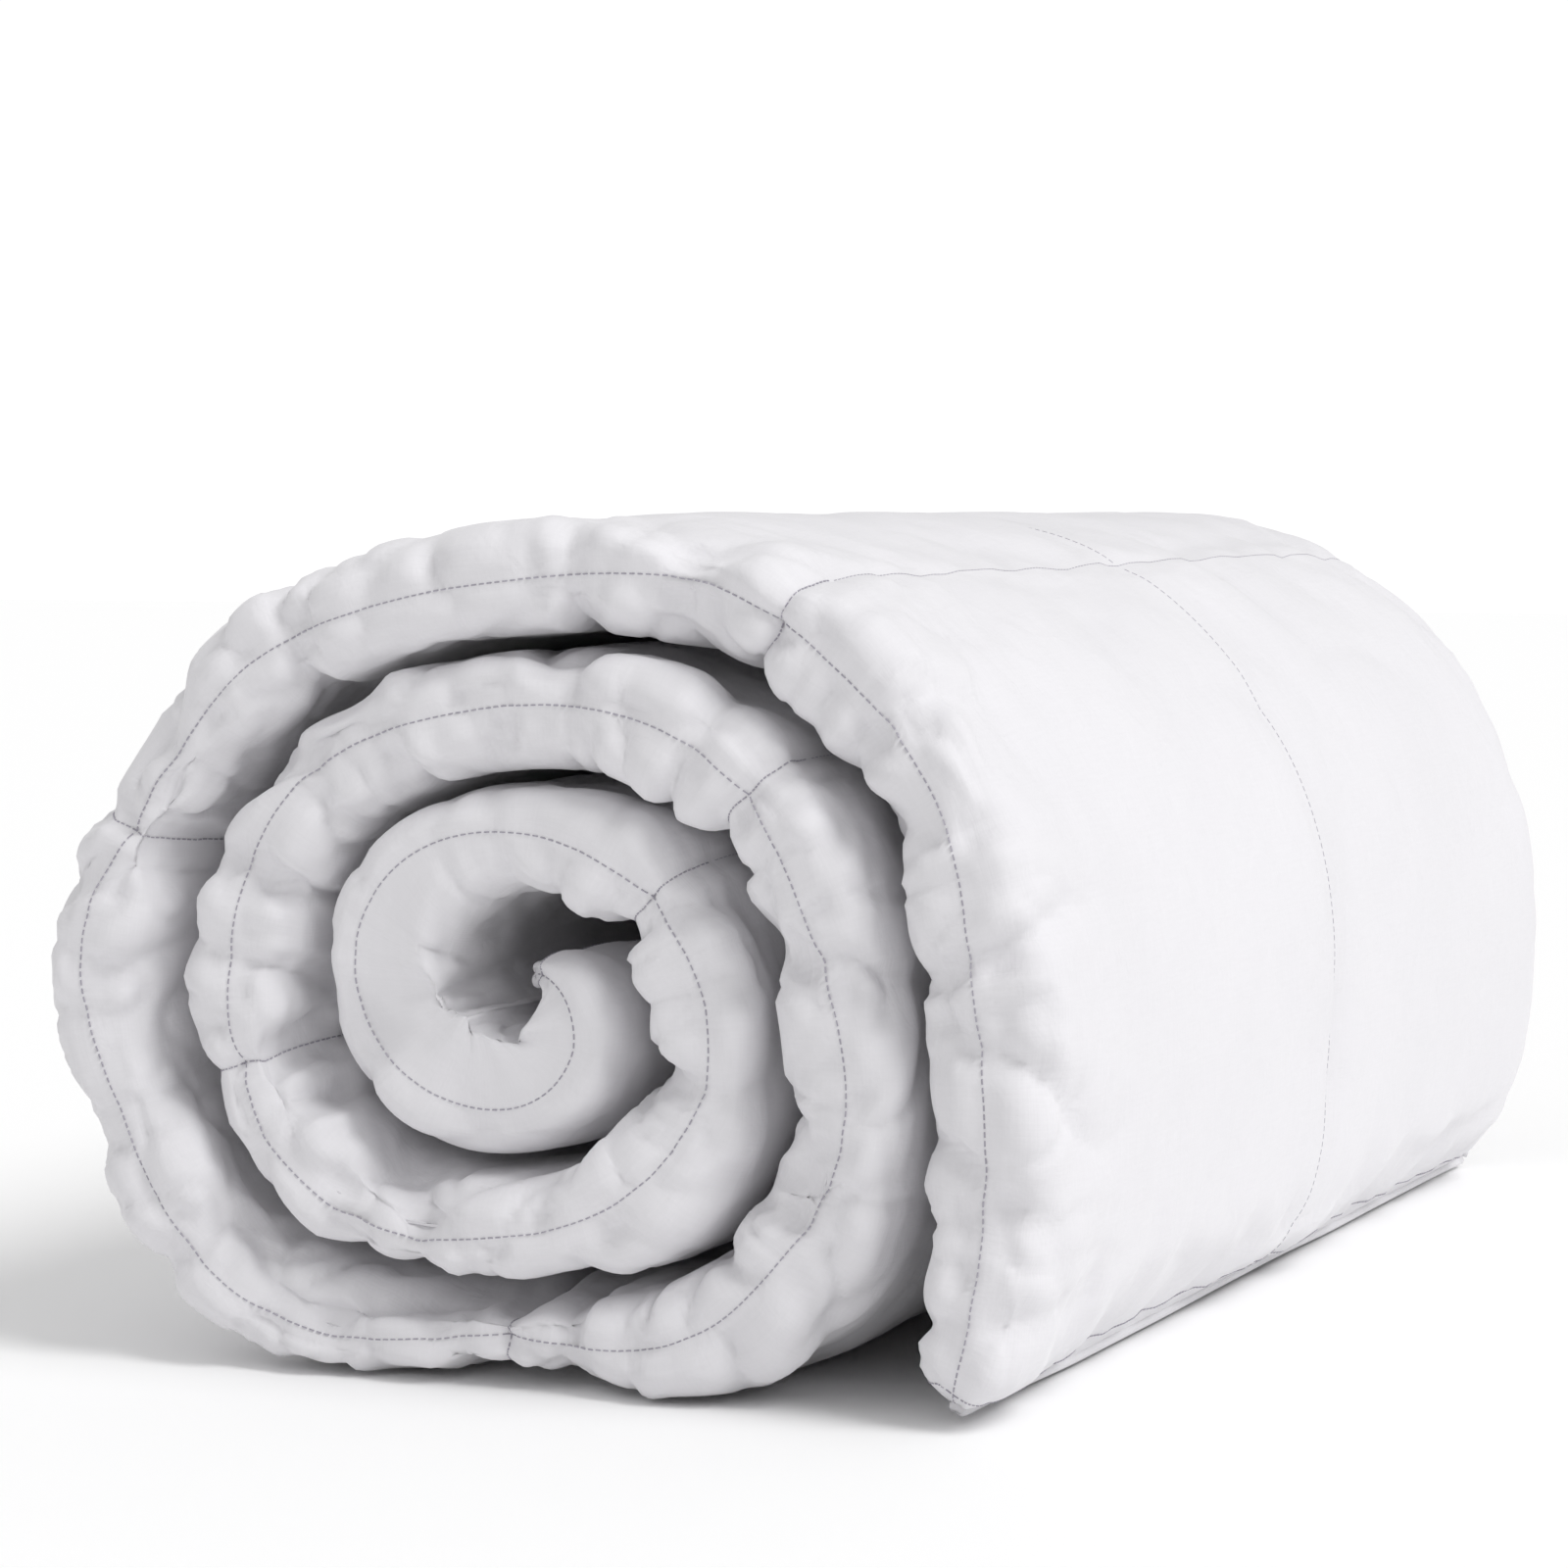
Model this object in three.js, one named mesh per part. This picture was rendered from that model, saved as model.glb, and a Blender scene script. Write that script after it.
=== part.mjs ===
// A down duvet, folded in half lengthwise and rolled up, lying on its side on a floor.
// Millimetres, +Z up. The roll's axis runs along Y, the fold is its -Y end, and the
// free outer end hangs down the +X side until its hem stands on the floor.
import * as THREE from 'three';

// The duvet laid flat: rows of quilted boxes along it, four columns across it
const DUVET_LENGTH = 2200;
const DUVET_WIDTH = 1400;
const ROWS = 7;
const FABRIC = 0.8;
const CORD_RADIUS = 2.5;

// How it is rolled. TURN_ROOM is what one turn of the folded duvet takes up, by
// direction: from the +X side over the top, the -X side and the bottom, every 45 degrees
const TURN_ROOM = [60, 58, 49, 53, 58, 55, 44, 60];
const TURN_GAP = 3;
const CORE_HOLE = 12;
const FLOOR_PRESS = 8;
const INNER_END_ANGLE = 60;
const OUTER_END_TURNS = [3.15, 3.42];

// How a box swells up from its seams, and how far its front bulges past the fold seam
const RISE_RUN = 18;
const RISE = 0.72;
const CROWN_RUN = 50;
const FOLD_LOBE = 14;

// Clearances
const GAP = 0.3;
const HINGE_GAP = 0.4;

// Sizes that follow from the ones above
const LEAF = DUVET_WIDTH / 2;
const ROW = DUVET_LENGTH / ROWS;
const FOLD_Y = -LEAF / 2;
const END_Y = LEAF / 2;
const BACK_UNDER = GAP / 2;
const BACK_OVER = BACK_UNDER + FABRIC;
const PAD_UNDER = BACK_OVER + GAP;
const SEAM_TOP = PAD_UNDER + FABRIC;
const CORD_SIDE = CORD_RADIUS + GAP / 2;
const CORD_OFFSET = CORD_RADIUS + GAP;
const CORD_CORNER = CORD_RADIUS * Math.hypot(1, 0.4);

const white = (name, color, roughness) =>
  new THREE.MeshStandardMaterial({ name, color, roughness, metalness: 0 });
const MATERIALS = {
  ticking: white('ticking', 0xeceaf0, 0.82),
  lining: white('lining', 0xe6e4ea, 0.85),
  down: white('down', 0xf5f3ee, 1.0),
  cord: white('cord', 0xe8e6ec, 0.8),
};

// ---- The path of the fold's middle, as a spiral counted in turns from the inner end ----

const roomCurve = new THREE.SplineCurve(
  [-1, 0, 1, 2, 3, 4, 5, 6, 7, 8, 9].map((i) => new THREE.Vector2(i, TURN_ROOM[(i + 8) % 8])),
);

const angleAt = (turns) => THREE.MathUtils.degToRad(INNER_END_ANGLE - 360 * turns);

function turnRoom(turns) {
  const eighth = THREE.MathUtils.euclideanModulo(angleAt(turns), 2 * Math.PI) / (Math.PI / 4);
  return roomCurve.getPoint((eighth + 1) / 10).y;
}

// The first half turn is a plain curl, and each turn after it lies outside the last
function growth(turns) {
  if (turns < 0.25) return 0;
  return turns < 0.75 ? (turns - 0.25) ** 2 : turns - 0.5;
}

const radiusAt = (core, turns) => core + turnRoom(turns) * growth(turns);

function spiralPoint(spiral, turns) {
  const r = radiusAt(spiral.core, turns);
  const a = angleAt(turns);
  return new THREE.Vector2(r * Math.cos(a), spiral.centreZ + r * Math.sin(a));
}

function outwardTangent(spiral, turns) {
  const ahead = spiralPoint(spiral, turns + 1e-4);
  return ahead.sub(spiralPoint(spiral, turns - 1e-4)).normalize();
}

// The height of the outer hem's underside, were the spiral cut off at these turns
function hemHeight(spiral, turns) {
  const tangent = outwardTangent(spiral, turns);
  const middle = spiralPoint(spiral, turns).y + tangent.y * CORD_OFFSET;
  return middle - Math.abs(tangent.x) * CORD_SIDE - CORD_CORNER;
}

function bisect(low, high, isLow) {
  for (let i = 0; i < 50; i += 1) {
    const middle = (low + high) / 2;
    if (isLow(middle)) low = middle;
    else high = middle;
  }
  return (low + high) / 2;
}

function measure(spiral, outerEnd) {
  const steps = 1600;
  const table = [{ s: 0, turns: outerEnd }];
  let last = spiralPoint(spiral, outerEnd);
  for (let i = 1; i <= steps; i += 1) {
    const turns = outerEnd * (1 - i / steps);
    const point = spiralPoint(spiral, turns);
    table.push({ s: table[i - 1].s + point.distanceTo(last), turns });
    last = point;
  }
  return table;
}

// The turns at which the last whole turn reaches lowest below the axis
function lowestTurns(core) {
  const depth = (turns) => -radiusAt(core, turns) * Math.sin(angleAt(turns));
  const tries = Array.from({ length: 101 }, (_, i) => 2.25 + i / 250);
  return tries.reduce((best, turns) => (depth(turns) > depth(best) ? turns : best));
}

// A spiral standing on the floor, with its outer hem just touching the floor
function standSpiral(core) {
  const lowest = lowestTurns(core);
  const depth = -radiusAt(core, lowest) * Math.sin(angleAt(lowest));
  const spiral = { core, centreZ: depth + turnRoom(lowest) / 2 - FLOOR_PRESS };
  const outerEnd = bisect(...OUTER_END_TURNS, (turns) => hemHeight(spiral, turns) > 0);
  spiral.table = measure(spiral, outerEnd);
  return spiral;
}

const rolledLength = (spiral) => spiral.table[spiral.table.length - 1].s;
const core = bisect(5, 150, (r) => rolledLength(standSpiral(r)) < DUVET_LENGTH);
const SPIRAL = standSpiral(core);

// ---- Stations along the path, each with the room it has outside and inside ----

function turnsAt(s) {
  const table = SPIRAL.table;
  let i = 1;
  while (i < table.length - 1 && table[i].s < s) i += 1;
  const share = (s - table[i - 1].s) / (table[i].s - table[i - 1].s);
  return THREE.MathUtils.lerp(table[i - 1].turns, table[i].turns, share);
}

// Where the inside of this turn ends: half-way to the next turn in, or the core's hole
function innerLimit(turns) {
  const here = radiusAt(SPIRAL.core, Math.max(turns, 1));
  const halfway = (here + radiusAt(SPIRAL.core, Math.max(turns, 1) - 1)) / 2;
  if (turns >= 1) return halfway;
  const closing = THREE.MathUtils.smoothstep(turns, 0.5, 1);
  return THREE.MathUtils.lerp(CORE_HOLE, halfway, closing);
}

function station(s) {
  const turns = turnsAt(s);
  const point = spiralPoint(SPIRAL, turns);
  const tangent = outwardTangent(SPIRAL, turns);
  const out = new THREE.Vector2(-tangent.y, tangent.x);
  const radial = new THREE.Vector2(Math.cos(angleAt(turns)), Math.sin(angleAt(turns)));
  if (out.dot(radial) < 0) out.negate();
  const lean = out.dot(radial);
  const radius = radiusAt(SPIRAL.core, turns);
  const next = (radiusAt(SPIRAL.core, turns + 1) - radius) / 2;
  const loose = (turnRoom(turns) / 2) * lean - TURN_GAP / 2;
  const roomIn = Math.min((radius - innerLimit(turns)) * lean - TURN_GAP / 2, loose);
  const toFloor = out.y < 0 ? point.y / -out.y : Infinity;
  const roomOut = Math.min(next * lean - TURN_GAP / 2, toFloor);
  return { point, tangent, out, roomIn, roomOut };
}

const at = (st, y, n) => new THREE.Vector3(st.point.x + st.out.x * n, y, st.point.y + st.out.y * n);

// Stations of one row of boxes, with how far the boxes have swelled there
function rowStations(row) {
  const start = row * ROW + (row === 1 ? HINGE_GAP / 2 : 0);
  const end = (row + 1) * ROW - (row === 0 ? HINGE_GAP / 2 : 0);
  const list = [[start, 0], [start + RISE_RUN, RISE]];
  const flats = 6;
  for (let i = 0; i < flats; i += 1) {
    const s = THREE.MathUtils.lerp(start + CROWN_RUN, end - CROWN_RUN, i / (flats - 1));
    list.push([s, 1]);
  }
  list.push([end - RISE_RUN, RISE], [end, 0]);
  return list.map(([s, swell]) => ({ ...station(s), swell }));
}

const STATIONS = Array.from({ length: ROWS }, (_, row) => rowStations(row));

function stationsOfRows(first, last) {
  const list = [...STATIONS[first]];
  for (let row = first + 1; row <= last; row += 1) list.push(...STATIONS[row].slice(1));
  return list;
}

// ---- The shape of one leaf across the duvet, from the fold to the long edge ----

const column = (from, to) => [
  { w: from, swell: 0 },
  { w: from + RISE_RUN, swell: RISE },
  { w: from + CROWN_RUN, swell: 1 },
  { w: to - CROWN_RUN, swell: 1 },
  { w: to - RISE_RUN, swell: RISE },
  { w: to, swell: 0 },
];
const FOLD_PROFILE = [
  { w: 0, swell: 0, inY: 1, inN: 1 },
  { w: 8, swell: 0.45, push: 1, inY: 1, inN: 0.3, slack: 3.5 },
  { w: 26, swell: 0.86, push: 0.55, inY: 0.6, inN: 0.8, slack: 1 },
  { w: 70, swell: 1 },
];
const FRONT_COLUMN = [...FOLD_PROFILE, ...column(0, LEAF / 2).slice(3)];
const BACK_COLUMN = column(LEAF / 2, LEAF);
const WHOLE_LEAF = [...FRONT_COLUMN, ...BACK_COLUMN.slice(1)];

// A point on the outer ticking's face, or the given depth below it
function leafPoint(st, across, side, depth) {
  const { w, swell, push = 0, inY = 0, inN = 1 } = across;
  const room = side > 0 ? st.roomOut : st.roomIn;
  const lift = swell * st.swell * (room - SEAM_TOP);
  const y = FOLD_Y + w - push * st.swell * FOLD_LOBE + inY * depth;
  const point = at(st, y, side * (SEAM_TOP + lift - inN * depth));
  point.lift = lift;
  return point;
}

// ---- Closed solids from a run of sections, each an upper and a lower row of points ----

function signedVolume(points, index) {
  let sum = 0;
  const cross = new THREE.Vector3();
  for (let i = 0; i < index.length; i += 3) {
    cross.crossVectors(points[index[i + 1]], points[index[i + 2]]);
    sum += points[index[i]].dot(cross);
  }
  return sum / 6;
}

function closedBand(sections) {
  const points = sections.flatMap(({ over, under }) => [...over, ...under]);
  const half = sections[0].over.length;
  const over = (i, j) => i * 2 * half + j;
  const under = (i, j) => over(i, j) + half;
  const lift = (i, j) => points[over(i, j)].lift ?? 0;
  const index = [];
  const quad = (a, b, c, d, throughBD) => {
    if (throughBD) index.push(a, b, d, b, c, d);
    else index.push(a, b, c, a, c, d);
  };
  for (let i = 0; i < sections.length - 1; i += 1) {
    for (let j = 0; j < half - 1; j += 1) {
      const fuller = lift(i + 1, j) + lift(i, j + 1) - lift(i, j) - lift(i + 1, j + 1) > 1e-6;
      quad(over(i, j), over(i + 1, j), over(i + 1, j + 1), over(i, j + 1), fuller);
      quad(under(i, j + 1), under(i + 1, j + 1), under(i + 1, j), under(i, j), !fuller);
    }
    const last = half - 1;
    quad(under(i, 0), under(i + 1, 0), over(i + 1, 0), over(i, 0), false);
    quad(over(i, last), over(i + 1, last), under(i + 1, last), under(i, last), false);
  }
  const end = sections.length - 1;
  for (let j = 0; j < half - 1; j += 1) {
    quad(over(0, j), over(0, j + 1), under(0, j + 1), under(0, j), false);
    quad(over(end, j + 1), over(end, j), under(end, j), under(end, j + 1), false);
  }
  if (signedVolume(points, index) < 0) index.reverse();
  const geometry = new THREE.BufferGeometry().setFromPoints(points);
  geometry.setIndex(index);
  geometry.computeVertexNormals();
  return geometry;
}

// ---- The pieces ----

// The ticking that shows: over the outer leaf, round the fold and under the inner leaf
function facePanel(stations) {
  const side = (st, depth, way) => WHOLE_LEAF.map((across) => leafPoint(st, across, way, depth));
  const row = (st, depth) => [...side(st, depth, 1).reverse(), ...side(st, depth, -1)];
  return closedBand(stations.map((st) => ({ over: row(st, 0), under: row(st, FABRIC) })));
}

// The ticking inside the fold, lying against itself
function backPanel(stations) {
  const row = (st, n, foldY) => [
    at(st, END_Y, n), at(st, foldY, n), at(st, foldY, -n), at(st, END_Y, -n),
  ];
  const inside = FOLD_Y + FABRIC + GAP;
  return closedBand(stations.map((st) => ({
    over: row(st, BACK_OVER, inside),
    under: row(st, BACK_UNDER, inside + FABRIC),
  })));
}

function between(a, b, share) {
  const point = a.clone().lerp(b, share);
  point.lift = THREE.MathUtils.lerp(a.lift ?? 0, b.lift ?? 0, share);
  return point;
}

// The filling stops a little short of the seams round its box
const PAD_INSET = 0.24;

const padDepth = ({ slack = 0 }) => FABRIC + GAP + slack;

function insetEnds(row) {
  const last = row.length - 1;
  const start = between(row[0], row[1], PAD_INSET);
  return [start, ...row.slice(1, last), between(row[last], row[last - 1], PAD_INSET)];
}

function insetSection(a, b) {
  return {
    over: a.over.map((point, j) => between(point, b.over[j], PAD_INSET)),
    under: a.under.map((point, j) => between(point, b.under[j], PAD_INSET)),
  };
}

function fillPad(row, side, columnProfile) {
  const profile = side > 0 ? [...columnProfile].reverse() : columnProfile;
  const sections = STATIONS[row].map((st) => ({
    over: insetEnds(profile.map((across) => leafPoint(st, across, side, padDepth(across)))),
    under: insetEnds(profile.map(({ w }) => at(st, FOLD_Y + w, side * PAD_UNDER))),
  }));
  const last = sections.length - 1;
  const first = insetSection(sections[0], sections[1]);
  const end = insetSection(sections[last], sections[last - 1]);
  return closedBand([first, ...sections.slice(1, last), end]);
}

// The piped edge: an eight-sided cord, given its middle and two directions across it
function cordSection(centre, a, b) {
  const r = CORD_RADIUS;
  const corner = (u, v) => centre.clone().addScaledVector(a, u * r).addScaledVector(b, v * r);
  return {
    over: [corner(-1, 0.4), corner(-0.4, 1), corner(0.4, 1), corner(1, 0.4)],
    under: [corner(-1, -0.4), corner(-0.4, -1), corner(0.4, -1), corner(1, -0.4)],
  };
}

function edgeCord(stations, side) {
  const across = new THREE.Vector3(0, 1, 0);
  return closedBand(stations.map((st) => {
    const centre = at(st, END_Y + CORD_OFFSET, side * CORD_SIDE);
    return cordSection(centre, across, new THREE.Vector3(st.out.x, 0, st.out.y));
  }));
}

// The piped hem across an end, doubled back on itself at the fold
function hemCord(st, away) {
  const along = new THREE.Vector3(st.tangent.x, 0, st.tangent.y).multiplyScalar(away);
  const out = new THREE.Vector3(st.out.x, 0, st.out.y);
  const front = FOLD_Y + CORD_RADIUS;
  const stops = [[END_Y, 1, 0], [front, 1, -1], [front, -1, -1], [END_Y, -1, 0]];
  return closedBand(stops.map(([y, side, forward]) => {
    const centre = at(st, y, side * CORD_SIDE).addScaledVector(along, CORD_OFFSET);
    const across = out.clone().multiplyScalar(side).add(new THREE.Vector3(0, forward, 0));
    return cordSection(centre, along, across);
  }));
}

const duvet = new THREE.Group();
duvet.name = 'rolled_duvet';

function add(name, geometry, material) {
  const mesh = new THREE.Mesh(geometry, material);
  mesh.name = name;
  duvet.add(mesh);
}

const FLAP = stationsOfRows(0, 0);
const ROLL = stationsOfRows(1, ROWS - 1);

for (const [part, stations] of [['flap', FLAP], ['roll', ROLL]]) {
  add(`face_panel_${part}`, facePanel(stations), MATERIALS.ticking);
  add(`back_panel_${part}`, backPanel(stations), MATERIALS.lining);
  add(`edge_cord_outer_${part}`, edgeCord(stations, 1), MATERIALS.cord);
  add(`edge_cord_inner_${part}`, edgeCord(stations, -1), MATERIALS.cord);
}
add('hem_cord_flap', hemCord(FLAP[0], 1), MATERIALS.cord);
add('hem_cord_core', hemCord(ROLL[ROLL.length - 1], -1), MATERIALS.cord);

for (let row = 0; row < ROWS; row += 1) {
  for (const [leaf, side] of [['outer', 1], ['inner', -1]]) {
    add(`fill_row${row + 1}_${leaf}_front`, fillPad(row, side, FRONT_COLUMN), MATERIALS.down);
    add(`fill_row${row + 1}_${leaf}_back`, fillPad(row, side, BACK_COLUMN), MATERIALS.down);
  }
}

// Stand the roll over the frame's origin: the middle of its footprint, on the floor
const bounds = new THREE.Box3().setFromObject(duvet);
const middle = bounds.getCenter(new THREE.Vector3());
duvet.position.set(-middle.x, -middle.y, -bounds.min.z);

export default duvet;
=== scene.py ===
# %% [markdown]
# # A rolled-up down duvet
# The duvet is a quilted bag of white cotton filled with down. It was folded in half
# lengthwise and rolled up, so its end shows the fold as a spiral, with the middle
# quilting seam running along every turn. The CAD solids give where each turn lies and
# how thick it is. Here the cotton skins are made again as real cloth, with puckers
# along the seams, stitches and a piped hem, all in metres in the CAD's own frame.

# %% Load the CAD frame and keep its box
import math

import bpy
import numpy as np
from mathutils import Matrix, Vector


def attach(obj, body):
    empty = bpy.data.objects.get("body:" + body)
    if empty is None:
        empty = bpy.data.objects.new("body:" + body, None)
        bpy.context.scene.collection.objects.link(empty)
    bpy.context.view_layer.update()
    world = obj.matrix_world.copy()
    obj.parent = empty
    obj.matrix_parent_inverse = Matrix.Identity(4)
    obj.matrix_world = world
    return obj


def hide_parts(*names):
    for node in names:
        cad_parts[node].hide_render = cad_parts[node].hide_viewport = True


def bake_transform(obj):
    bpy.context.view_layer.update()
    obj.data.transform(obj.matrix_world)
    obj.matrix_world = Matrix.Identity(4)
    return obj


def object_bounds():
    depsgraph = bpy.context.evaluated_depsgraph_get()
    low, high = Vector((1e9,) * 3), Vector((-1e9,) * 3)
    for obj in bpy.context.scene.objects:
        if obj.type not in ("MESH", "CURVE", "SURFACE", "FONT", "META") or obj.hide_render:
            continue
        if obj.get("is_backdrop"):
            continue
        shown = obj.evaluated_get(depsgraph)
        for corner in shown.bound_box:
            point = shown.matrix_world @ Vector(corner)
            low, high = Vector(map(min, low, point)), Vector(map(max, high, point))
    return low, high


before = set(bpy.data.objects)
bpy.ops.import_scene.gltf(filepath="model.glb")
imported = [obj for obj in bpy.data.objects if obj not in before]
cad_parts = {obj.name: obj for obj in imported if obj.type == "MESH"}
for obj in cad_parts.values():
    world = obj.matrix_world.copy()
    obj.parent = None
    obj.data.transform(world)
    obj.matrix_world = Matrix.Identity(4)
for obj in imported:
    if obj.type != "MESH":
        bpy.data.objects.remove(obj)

cad_low, cad_high = (np.array(corner, float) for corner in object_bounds())
print("CAD box, mm:", np.round((cad_high - cad_low) * 1000, 1))

# %% [markdown]
# ## The camera
# A long lens keeps the end of the roll close to its true outline. The camera stands
# just above the height of the roll, so the top is only just seen, and looks at the
# fold end from the side where the free end hangs.

# %% The camera
CAMERA_PLACE = (0.732, -1.775, 0.3255)
CAMERA_TURN = 23.75
CAMERA_DIP = 3.55
LENS = 101.0

camera_data = bpy.data.cameras.new("camera")
camera_data.lens = LENS
camera_data.sensor_width = 36.0
camera = bpy.data.objects.new("camera", camera_data)
bpy.context.collection.objects.link(camera)
camera.location = CAMERA_PLACE
camera.rotation_euler = (math.radians(90 - CAMERA_DIP), 0, math.radians(CAMERA_TURN))
bpy.context.scene.camera = camera
print("camera at", CAMERA_PLACE, "lens, mm:", LENS)

# %% [markdown]
# ## How the duvet is rolled
# A roll is a spiral, so its middle line is easiest to write in polar form: the radius
# grows by one turn's thickness each time round. Soft things do not roll into a perfect
# circle: each direction has its own thickness for one turn, less underneath where the
# weight presses, more on the side where the loose end hangs. These are the sizes the
# CAD solids were made from. Four differ, as soft cloth does: CORE_HOLE and CORE_CURL
# wind the inner end tighter, HEM_SWING lets the loose hem stand off, and the piping's
# radius is a hair smaller than that of the CAD's edge cord.

# %% Sizes of the duvet and of the roll
MM = 0.001
LENGTH = 2200 * MM
LEAF = 700 * MM
ROWS = 7
ROW = LENGTH / ROWS
TURN_ROOM = np.array([60, 58, 49, 53, 58, 55, 44, 60]) * MM
TURN_GAP = 3 * MM
CORE_HOLE = 3 * MM
INNER_END_ANGLE = 60.0
CORE_RADIUS = 40.6295 * MM
CORE_CURL = 28 * MM
HEM_SWING = 21 * MM
OUTER_TURNS = 3.278362
AXIS_X = -18.075 * MM
AXIS_Z = 141.637 * MM
PIPE_RADIUS = 2.4 * MM


def turn_room(turns):
    eighth = np.mod(np.radians(INNER_END_ANGLE - 360 * turns), 2 * np.pi) / (np.pi / 4)
    i = np.floor(eighth).astype(int)
    t = eighth - i
    p0, p1, p2, p3 = (TURN_ROOM[(i + k) % 8] for k in (-1, 0, 1, 2))
    v0, v1 = (p2 - p0) / 2, (p3 - p1) / 2
    return (2 * p1 - 2 * p2 + v0 + v1) * t**3 + (-3 * p1 + 3 * p2 - 2 * v0 - v1) * t**2 + v0 * t + p1


def growth(turns):
    early = np.clip(turns - 0.25, 0, 0.5) ** 2
    return np.where(turns < 0.75, early, turns - 0.5)


def radius_at(turns):
    curl = np.clip((0.55 - turns) / 0.55, 0, 1) ** 2
    return CORE_RADIUS - CORE_CURL * curl + turn_room(turns) * growth(turns)


def spiral_point(turns):
    a = np.radians(INNER_END_ANGLE - 360 * turns)
    r = radius_at(turns)
    near_hem = np.clip(1 - (OUTER_TURNS - turns) / 0.09, 0, 1.1) ** 2
    return np.stack([AXIS_X + r * np.cos(a) + HEM_SWING * near_hem, AXIS_Z + r * np.sin(a)], -1)


fine_turns = np.linspace(OUTER_TURNS, 0, 4000)
fine_points = spiral_point(fine_turns)
fine_s = np.concatenate([[0], np.cumsum(np.linalg.norm(np.diff(fine_points, axis=0), axis=1))])
print("rolled length, m:", round(float(fine_s[-1]), 4))
fine_s *= LENGTH / fine_s[-1]

# %% [markdown]
# ## Room for each turn
# At every place along the spiral the cloth needs to know three things: which way is
# outward, how far it is to the next turn out, and how far to the next turn in. The
# outermost turn has no neighbour, but the floor stops it from below.

# %% Stations along the spiral
NO_STOP = 9.0


def stations(s):
    turns = np.interp(s, fine_s, fine_turns)
    point = spiral_point(turns)
    tangent = spiral_point(turns - 1e-4) - spiral_point(turns + 1e-4)
    tangent /= np.linalg.norm(tangent, axis=-1, keepdims=True)
    out = np.stack([tangent[:, 1], -tangent[:, 0]], -1)
    a = np.radians(INNER_END_ANGLE - 360 * turns)
    lean = np.cos(a) * out[:, 0] + np.sin(a) * out[:, 1]
    out *= np.sign(lean)[:, None]
    lean = np.abs(lean)
    here = radius_at(turns)
    outer = (radius_at(turns + 1) - here) / 2 * lean - TURN_GAP / 2
    floor = np.where(out[:, 1] < -1e-6, point[:, 1] / np.maximum(-out[:, 1], 1e-6), NO_STOP)
    top = np.maximum(turns, 1)
    halfway = (radius_at(top) + radius_at(top - 1)) / 2
    closing = np.clip((turns - 0.5) / 0.5, 0, 1)
    closing = closing**2 * (3 - 2 * closing)
    limit = np.where(turns >= 1, halfway, CORE_HOLE + (halfway - CORE_HOLE) * closing)
    half_turn = np.where(turns < 0.9, NO_STOP, turn_room(turns) / 2 * lean)
    inner = np.minimum((here - limit) * lean, half_turn) - TURN_GAP / 2
    return {"turns": turns, "point": point, "tangent": tangent, "out": out,
            "outer": np.minimum(outer, floor), "inner": inner}


for place in (0.2, 1.1, 2.0):
    here = stations(np.array([place]))
    print(place, "m from the hem: room outward", round(float(here["outer"][0]) * 1000, 1), "mm, inward",
          round(float(here["inner"][0]) * 1000, 1), "mm")

# %% [markdown]
# ## One leaf in section
# Cut across the folded duvet: each half is a leaf that starts at the middle seam on
# the fold, swells forward into a blunt round edge, turns the corner and runs back to
# the long edge, where it thins down to the hem. The rounded edge is a superellipse,
# walked by its own length so that the cloth is not stretched there.

# %% The section of a leaf
FOLD_DEPTH = 34 * MM
FOLD_POWER = 2.5
FOLD_PINCH = 6 * MM
PINCH_REACH = 9 * MM
FRONT_Y = float(cad_low[1]) + 3 * MM
HEM_Y = float(cad_high[1]) - 2 * PIPE_RADIUS - 1 * MM
SEAM_HALF = 1.2 * MM
HEM_HALF = 2.9 * MM

angle = np.linspace(0, np.pi / 2, 400)
edge_y = 1 - np.cos(angle) ** (2 / FOLD_POWER)
edge_n = np.sin(angle) ** (2 / FOLD_POWER)
MEAN_HALF = 24 * MM
edge_length = np.concatenate([[0], np.cumsum(np.hypot(
    np.diff(edge_y) * FOLD_DEPTH, np.diff(edge_n) * MEAN_HALF))])
EDGE = float(edge_length[-1])


def section(w):
    """How far back and how full a leaf is, this far from the middle seam."""
    on_edge = np.clip(w, 0, EDGE)
    back = np.interp(on_edge, edge_length, edge_y) * FOLD_DEPTH
    full = np.interp(on_edge, edge_length, edge_n)
    beyond = np.clip(w - EDGE, 0, None)
    run = (HEM_Y - FRONT_Y - FOLD_DEPTH) / (LEAF - EDGE)
    return FRONT_Y + back + beyond * run, full


def valley(distance, reach):
    return np.exp(-np.abs(distance) / reach)


print("rounded edge takes", round(EDGE * 1000, 1), "mm of cloth")

# %% [markdown]
# ## The cloth before it puffs
# The outer cotton is one sheet that goes over the outer leaf, round the fold and under
# the inner leaf. It is laid out as a grid: s runs along the duvet, w across it, fine
# near the fold where the puckers are seen and wider towards the back. Seams pull the
# cloth in, deeply at the fold and only a little on the taut outside of the roll.

# %% The grid of the outer cotton
STEP_S = 2.9 * MM
w_lines = np.concatenate([
    np.arange(0, 91, 3.5), np.arange(91, 147, 7.0), np.linspace(147, 350, 17, endpoint=False),
    np.linspace(350, 640, 22, endpoint=False), np.linspace(640, 700, 9)]) * MM
W = np.concatenate([-w_lines[:0:-1], w_lines])
S = np.concatenate([np.linspace(row * ROW, (row + 1) * ROW, int(round(ROW / STEP_S)), endpoint=False)
                    for row in range(ROWS)] + [[LENGTH]])
along = stations(S)
print("cotton grid:", len(S), "x", len(W))


def row_place(row):
    """Where a cross seam lies in the grid."""
    return int(np.argmin(np.abs(S - row * ROW)))


# %% Two random helpers: soft hills and sharp tucks


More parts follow.
